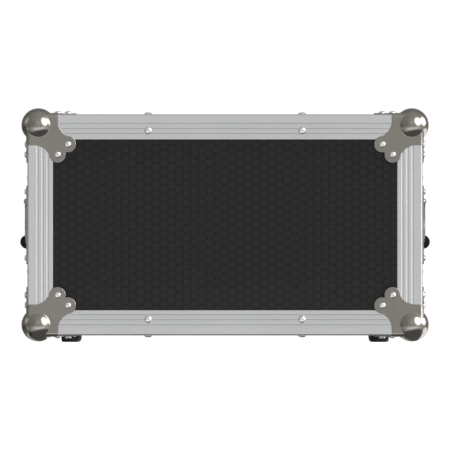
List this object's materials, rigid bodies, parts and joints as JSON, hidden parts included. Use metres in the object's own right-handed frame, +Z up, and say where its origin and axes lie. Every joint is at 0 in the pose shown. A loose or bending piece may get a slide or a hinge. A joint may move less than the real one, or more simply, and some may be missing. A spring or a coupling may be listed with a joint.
{
  "type": "rack case",
  "caption": "Low wooden-walled transport case for rack equipment, with aluminium edging, ball corners, lift-off lids, butterfly latches, drop handles and rubber feet.",
  "frame": {"origin": "on the floor under the middle of the case", "axes": "+X to the right seen from the front lid, across the case's width; -Y out of the front lid; +Z up"},
  "size_m": [0.5408, 0.516, 0.306],
  "materials": {
    "laminate": "dark grey textured laminate on plywood, honeycomb pattern",
    "aluminium": "ribbed anodised extrusion",
    "nickel": "nickel-plated pressed steel",
    "zinc": "bright zinc-plated pressed steel",
    "black_steel": "black powder coat",
    "rubber": "matt black"
  },
  "bodies": {
    "case_body": {"body_top_panel": "laminate", "body_bottom_panel": "laminate", "body_left_panel": "laminate", "body_right_panel": "laminate", "body_edge_top_left": "aluminium", "body_edge_top_right": "aluminium", "body_edge_bottom_left": "aluminium", "body_edge_bottom_right": "aluminium", "body_front_rim": "aluminium", "body_rear_rim": "aluminium", "rack_rail_left": "black_steel", "rack_rail_right": "black_steel", "foot_front_left": "rubber", "foot_front_right": "rubber", "foot_rear_left": "rubber", "foot_rear_right": "rubber", "handle_left_tray": "zinc", "handle_right_tray": "zinc", "latch_front_left_tray": "zinc", "latch_front_right_tray": "zinc", "latch_rear_left_tray": "zinc", "latch_rear_right_tray": "zinc"},
    "front_lid": {"front_lid_panel": "laminate", "front_lid_walls": "laminate", "front_lid_rim": "aluminium", "front_lid_edge_top": "aluminium", "front_lid_edge_bottom": "aluminium", "front_lid_edge_left": "aluminium", "front_lid_edge_right": "aluminium", "ball_corner_front_top_left": "nickel", "ball_corner_front_top_right": "nickel", "ball_corner_front_bottom_left": "nickel", "ball_corner_front_bottom_right": "nickel", "latch_front_left_keeper": "zinc", "latch_front_right_keeper": "zinc"},
    "rear_lid": {"rear_lid_panel": "laminate", "rear_lid_walls": "laminate", "rear_lid_frame": "aluminium", "ball_corner_rear_top_left": "nickel", "ball_corner_rear_top_right": "nickel", "ball_corner_rear_bottom_left": "nickel", "ball_corner_rear_bottom_right": "nickel", "latch_rear_left_keeper": "zinc", "latch_rear_right_keeper": "zinc"},
    "latch_front_left_hook": {"latch_front_left_hook": "zinc"},
    "latch_front_left_hub": {"latch_front_left_hub": "zinc"},
    "latch_front_left_wing": {"latch_front_left_wing": "zinc"},
    "latch_front_right_hook": {"latch_front_right_hook": "zinc"},
    "latch_front_right_hub": {"latch_front_right_hub": "zinc"},
    "latch_front_right_wing": {"latch_front_right_wing": "zinc"},
    "latch_rear_left_hook": {"latch_rear_left_hook": "zinc"},
    "latch_rear_left_hub": {"latch_rear_left_hub": "zinc"},
    "latch_rear_left_wing": {"latch_rear_left_wing": "zinc"},
    "latch_rear_right_hook": {"latch_rear_right_hook": "zinc"},
    "latch_rear_right_hub": {"latch_rear_right_hub": "zinc"},
    "latch_rear_right_wing": {"latch_rear_right_wing": "zinc"},
    "handle_left": {"handle_left_bail": "zinc", "handle_left_grip": "rubber"},
    "handle_right": {"handle_right_bail": "zinc", "handle_right_grip": "rubber"}
  },
  "joints": [
    {"name": "front_lid_off", "type": "slide", "parent": "case_body", "child": "front_lid", "axis": [0, -1, 0], "range_m": [0, 0.12]},
    {"name": "rear_lid_off", "type": "slide", "parent": "case_body", "child": "rear_lid", "axis": [0, 1, 0], "range_m": [0, 0.12]},
    {"name": "latch_front_left_turn", "type": "hinge", "parent": "case_body", "child": "latch_front_left_hub", "pos_m": [-0.259, -0.152, 0.15415], "axis": [-1, 0, 0], "range_deg": [0, 180]},
    {"name": "latch_front_left_wing_fold", "type": "hinge", "parent": "latch_front_left_hub", "child": "latch_front_left_wing", "pos_m": [-0.2612, -0.152, 0.15415], "axis": [0, 0, 1], "range_deg": [0, 90]},
    {"name": "latch_front_left_hook_slide", "type": "slide", "parent": "case_body", "child": "latch_front_left_hook", "axis": [0, -1, 0], "range_m": [0, 0.008]},
    {"name": "latch_front_right_turn", "type": "hinge", "parent": "case_body", "child": "latch_front_right_hub", "pos_m": [0.259, -0.152, 0.15415], "axis": [1, 0, 0], "range_deg": [0, 180]},
    {"name": "latch_front_right_wing_fold", "type": "hinge", "parent": "latch_front_right_hub", "child": "latch_front_right_wing", "pos_m": [0.2612, -0.152, 0.15415], "axis": [0, 0, -1], "range_deg": [0, 90]},
    {"name": "latch_front_right_hook_slide", "type": "slide", "parent": "case_body", "child": "latch_front_right_hook", "axis": [0, -1, 0], "range_m": [0, 0.008]},
    {"name": "latch_rear_left_turn", "type": "hinge", "parent": "case_body", "child": "latch_rear_left_hub", "pos_m": [-0.259, 0.152, 0.15415], "axis": [-1, 0, 0], "range_deg": [0, 180]},
    {"name": "latch_rear_left_wing_fold", "type": "hinge", "parent": "latch_rear_left_hub", "child": "latch_rear_left_wing", "pos_m": [-0.2612, 0.152, 0.15415], "axis": [0, 0, -1], "range_deg": [0, 90]},
    {"name": "latch_rear_left_hook_slide", "type": "slide", "parent": "case_body", "child": "latch_rear_left_hook", "axis": [0, 1, 0], "range_m": [0, 0.008]},
    {"name": "latch_rear_right_turn", "type": "hinge", "parent": "case_body", "child": "latch_rear_right_hub", "pos_m": [0.259, 0.152, 0.15415], "axis": [1, 0, 0], "range_deg": [0, 180]},
    {"name": "latch_rear_right_wing_fold", "type": "hinge", "parent": "latch_rear_right_hub", "child": "latch_rear_right_wing", "pos_m": [0.2612, 0.152, 0.15415], "axis": [0, 0, 1], "range_deg": [0, 90]},
    {"name": "latch_rear_right_hook_slide", "type": "slide", "parent": "case_body", "child": "latch_rear_right_hook", "axis": [0, 1, 0], "range_m": [0, 0.008]},
    {"name": "handle_left_lift", "type": "hinge", "parent": "case_body", "child": "handle_left", "pos_m": [-0.2613, 0, 0.18495], "axis": [0, 1, 0], "range_deg": [0, 90]},
    {"name": "handle_right_lift", "type": "hinge", "parent": "case_body", "child": "handle_right", "pos_m": [0.2613, 0, 0.18495], "axis": [0, -1, 0], "range_deg": [0, 90]}
  ],
  "couplings": [
    {"joint": "latch_front_left_hook_slide", "follows": "latch_front_left_turn", "m_per_rad": 0.0025465},
    {"joint": "latch_front_right_hook_slide", "follows": "latch_front_right_turn", "m_per_rad": 0.0025465},
    {"joint": "latch_rear_left_hook_slide", "follows": "latch_rear_left_turn", "m_per_rad": 0.0025465},
    {"joint": "latch_rear_right_hook_slide", "follows": "latch_rear_right_turn", "m_per_rad": 0.0025465}
  ]
}
